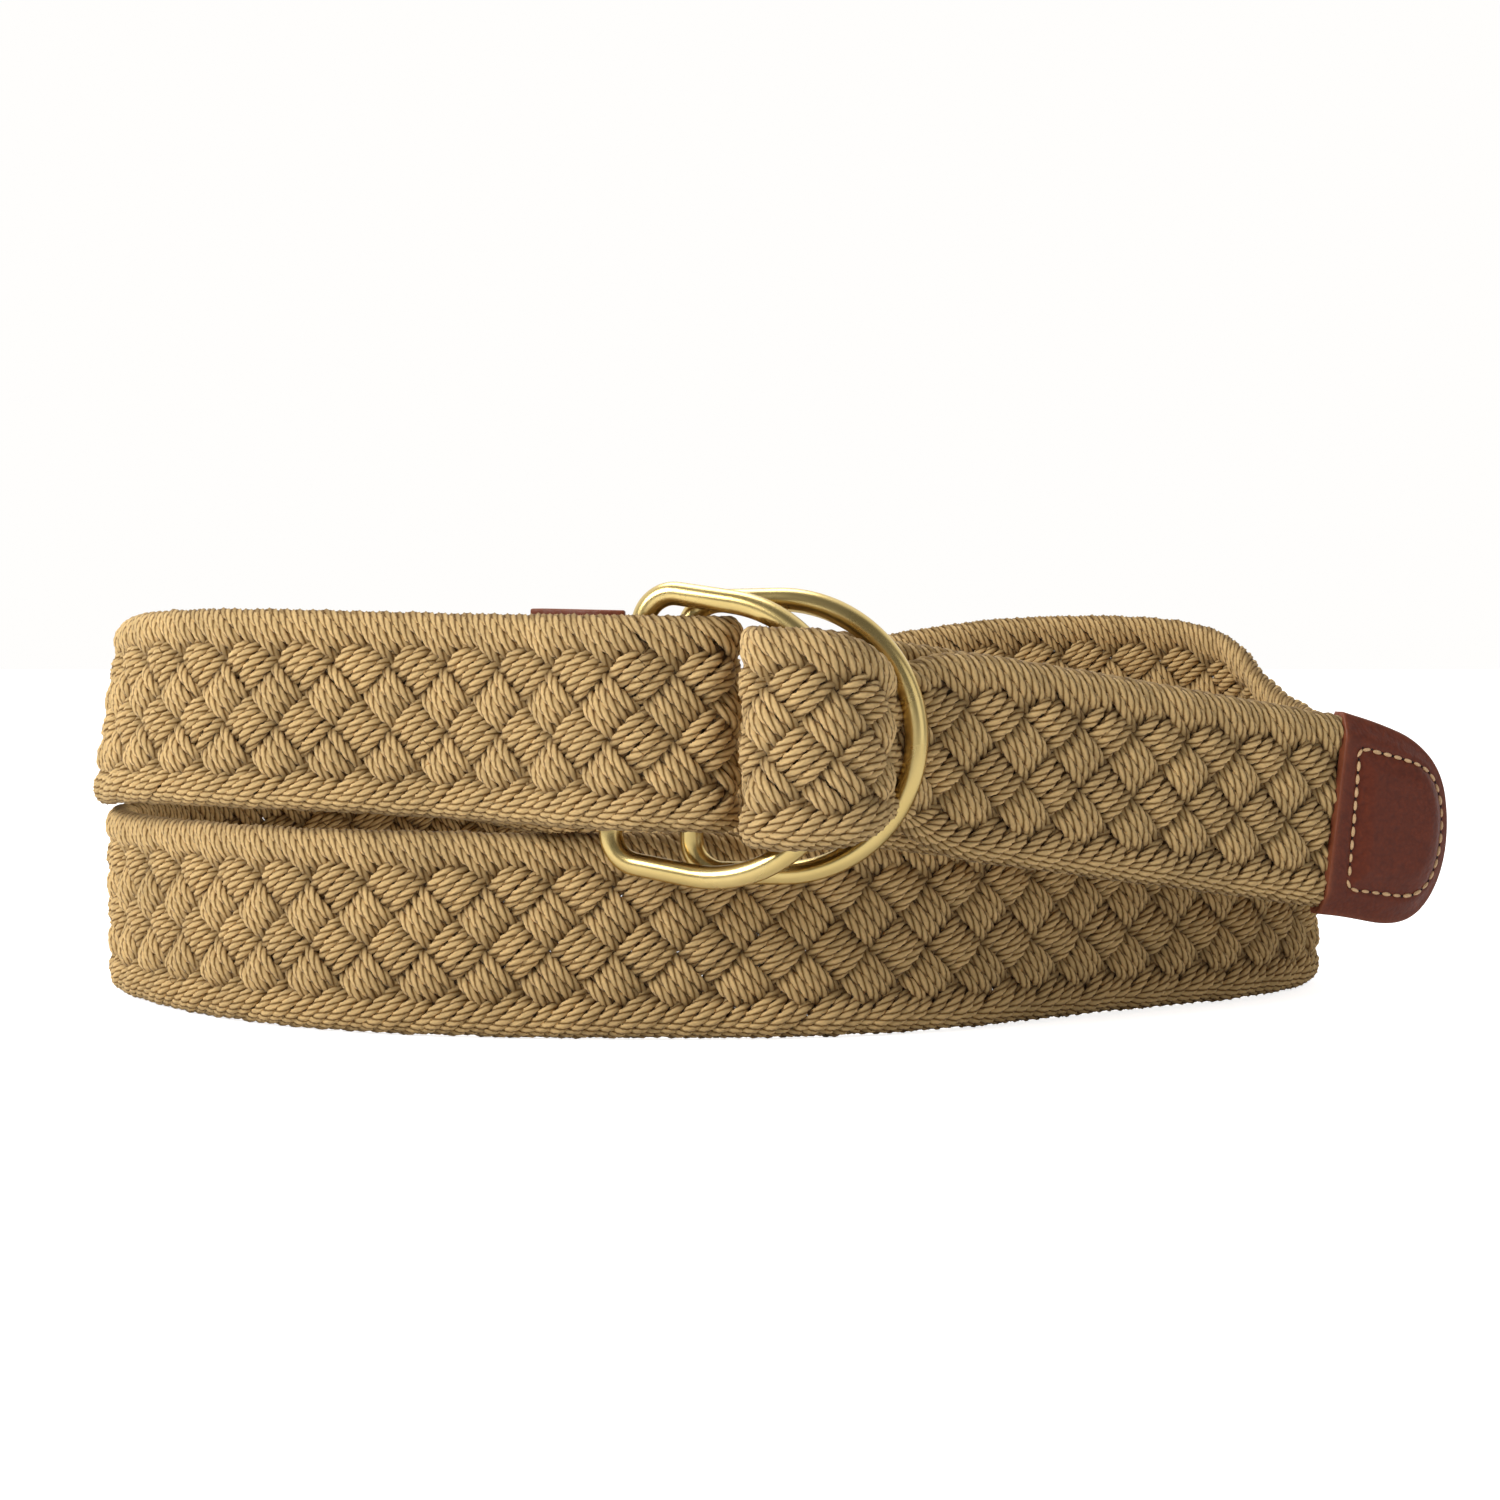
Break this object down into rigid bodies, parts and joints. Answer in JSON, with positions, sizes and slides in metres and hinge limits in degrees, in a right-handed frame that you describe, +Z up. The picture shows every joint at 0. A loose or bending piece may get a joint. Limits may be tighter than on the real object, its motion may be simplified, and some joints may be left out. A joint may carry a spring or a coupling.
{
  "type": "braided belt",
  "caption": "Braided cotton belt coiled on edge, its strap threaded through brass D-rings and folded back, with a stitched brown leather end tip.",
  "frame": {"origin": "middle of the coil's outline, on the surface that the belt stands on", "axes": "+X along the coil's long side towards the leather tip, +Y away from the side with the rings, +Z up along the strap's width"},
  "size_m": [0.2398, 0.1346, 0.0714],
  "materials": {
    "cotton": "undyed tan cotton cords, flat braid, matt",
    "brass": "polished, light wear",
    "leather": "dark reddish brown, fine grain, satin",
    "thread": "tan waxed thread"
  },
  "bodies": {
    "strap": {"strap_loop_back_leg": "cotton", "strap_loop_turn": "cotton", "strap_loop_front_leg": "cotton", "strap_front_upper_run": "cotton", "strap_left_upper_bend": "cotton", "strap_back_descending_run": "cotton", "strap_right_lower_bend": "cotton", "strap_front_lower_run": "cotton", "strap_left_lower_bend": "cotton", "strap_back_rising_run": "cotton", "strap_right_outer_bend": "cotton", "strap_arriving_run": "cotton", "strap_fold_over": "cotton", "loop_leather_patch": "leather", "patch_stitching": "thread"},
    "ring_outer": {"ring_outer": "brass"},
    "ring_inner": {"ring_inner": "brass"},
    "tail": {"strap_tail": "cotton", "tip_leather_front": "leather", "tip_leather_back": "leather", "tip_stitching": "thread"}
  },
  "joints": [
    {"name": "ring_outer_rock", "type": "hinge", "parent": "strap", "child": "ring_outer", "pos_m": [-0.01864, -0.0496, 0.0497], "axis": [0.1564, 0, 0.9877], "range_deg": [-1, 1]},
    {"name": "ring_inner_lift", "type": "hinge", "parent": "strap", "child": "ring_inner", "pos_m": [-0.00909, -0.0482, 0.0476], "axis": [0.0175, 0, -0.9998], "range_deg": [0, 0.5]},
    {"name": "tail_swing", "type": "hinge", "parent": "strap", "child": "tail", "pos_m": [0.03083, -0.04896, 0.044], "axis": [0, 0, -1], "range_deg": [0, 25]}
  ]
}
